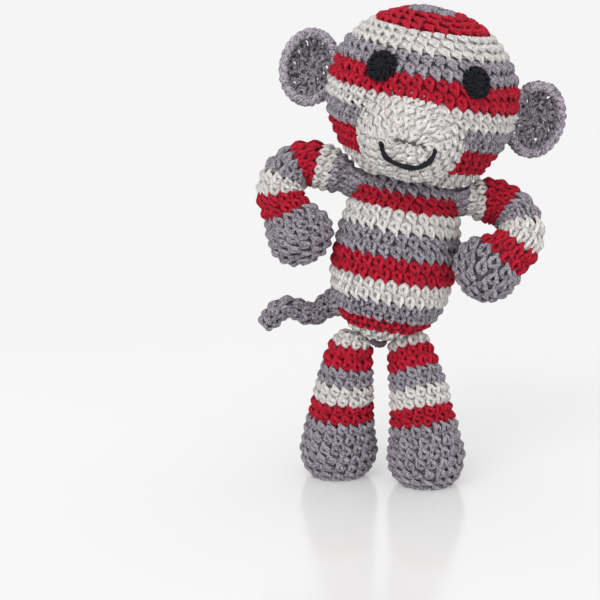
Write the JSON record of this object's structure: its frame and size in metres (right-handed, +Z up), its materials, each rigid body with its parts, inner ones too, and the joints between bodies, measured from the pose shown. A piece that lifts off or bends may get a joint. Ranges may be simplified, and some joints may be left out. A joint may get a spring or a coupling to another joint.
{
  "type": "crocheted monkey rattle",
  "caption": "Standing crocheted monkey rattle in grey, red and off-white stripes, with a turning head, swinging arms and legs, a tail and loose pellets in a belly capsule.",
  "frame": {"origin": "on the floor under the soles, in the middle of the toy's box", "axes": "+Z up, the toy faces -Y, +X to the toy's left"},
  "size_m": [0.0956, 0.0632, 0.1477],
  "materials": {
    "striped_crochet": "grey, red and off-white rounds of single crochet",
    "grey_crochet": "single crochet in matte cotton",
    "white_crochet": "single crochet in matte cotton",
    "black_yarn": "matte cotton",
    "grey_yarn": "matte cotton",
    "filling": "loose white fibre",
    "capsule_plastic": "smooth",
    "pellet_plastic": "smooth"
  },
  "bodies": {
    "body": {"body_cover": "striped_crochet", "body_stuffing": "filling", "closing_yarn": "grey_yarn", "rattle_lower_shell": "capsule_plastic", "rattle_upper_shell": "capsule_plastic", "left_shoulder_seam": "grey_yarn", "right_shoulder_seam": "grey_yarn"},
    "neck": {"neck_stuffing": "filling"},
    "head": {"head_cover": "striped_crochet", "head_stuffing": "filling", "muzzle_cover": "white_crochet", "muzzle_stuffing": "filling", "mouth_yarn": "black_yarn", "left_eye": "black_yarn", "right_eye": "black_yarn", "left_ear": "grey_crochet", "right_ear": "grey_crochet"},
    "left_arm": {"left_arm_cover": "striped_crochet", "left_arm_stuffing": "filling"},
    "right_arm": {"right_arm_cover": "striped_crochet", "right_arm_stuffing": "filling"},
    "left_leg": {"left_leg_cover": "striped_crochet", "left_leg_stuffing": "filling"},
    "right_leg": {"right_leg_cover": "striped_crochet", "right_leg_stuffing": "filling"},
    "tail": {"tail": "grey_crochet"},
    "pellet_1": {"pellet_1": "pellet_plastic"},
    "pellet_2": {"pellet_2": "pellet_plastic"},
    "pellet_3": {"pellet_3": "pellet_plastic"},
    "pellet_4": {"pellet_4": "pellet_plastic"},
    "pellet_5": {"pellet_5": "pellet_plastic"},
    "pellet_6": {"pellet_6": "pellet_plastic"}
  },
  "joints": [
    {"name": "head_turn", "type": "hinge", "parent": "body", "child": "neck", "pos_m": [-0.00177, 0.00464, 0.08629], "axis": [0.1822, 0, 0.9833], "range_deg": [-22, 22], "stiffness_Nm_per_rad": 0.15},
    {"name": "head_nod", "type": "hinge", "parent": "neck", "child": "head", "pos_m": [-0.00177, 0.00464, 0.08629], "axis": [0.9833, 0, -0.1822], "range_deg": [-6, 6], "stiffness_Nm_per_rad": 0.3},
    {"name": "left_shoulder", "type": "hinge", "parent": "body", "child": "left_arm", "pos_m": [0.01678, 0.00464, 0.08872], "axis": [-0.9833, 0, 0.1822], "range_deg": [-8, 40], "stiffness_Nm_per_rad": 0.03},
    {"name": "right_shoulder", "type": "hinge", "parent": "body", "child": "right_arm", "pos_m": [-0.01822, 0.00464, 0.09521], "axis": [-0.9833, 0, 0.1822], "range_deg": [-12, 60], "stiffness_Nm_per_rad": 0.03},
    {"name": "left_hip", "type": "hinge", "parent": "body", "child": "left_leg", "pos_m": [-0.00004, 0.00464, 0.0406], "axis": [-1, 0, 0], "range_deg": [-32, 50], "stiffness_Nm_per_rad": 0.2},
    {"name": "right_hip", "type": "hinge", "parent": "body", "child": "right_leg", "pos_m": [-0.01904, 0.00464, 0.0406], "axis": [-1, 0, 0], "range_deg": [-20, 75], "stiffness_Nm_per_rad": 0.2},
    {"name": "tail_swing", "type": "hinge", "parent": "body", "child": "tail", "pos_m": [-0.02333, 0.0154, 0.05432], "axis": [0, 1, 0], "range_deg": [-25, 25], "stiffness_Nm_per_rad": 0.002},
    {"name": "pellet_1_rattle", "type": "slide", "parent": "body", "child": "pellet_1", "axis": [0, 0, 1], "range_m": [0, 0.0138]},
    {"name": "pellet_2_rattle", "type": "slide", "parent": "body", "child": "pellet_2", "axis": [0, 0, 1], "range_m": [0, 0.0138]},
    {"name": "pellet_3_rattle", "type": "slide", "parent": "body", "child": "pellet_3", "axis": [0, 0, 1], "range_m": [0, 0.0138]},
    {"name": "pellet_4_rattle", "type": "slide", "parent": "body", "child": "pellet_4", "axis": [0, 0, 1], "range_m": [0, 0.0138]},
    {"name": "pellet_5_rattle", "type": "slide", "parent": "body", "child": "pellet_5", "axis": [0, 0, 1], "range_m": [0, 0.0138]},
    {"name": "pellet_6_rattle", "type": "slide", "parent": "body", "child": "pellet_6", "axis": [0, 0, 1], "range_m": [0, 0.0168]}
  ]
}
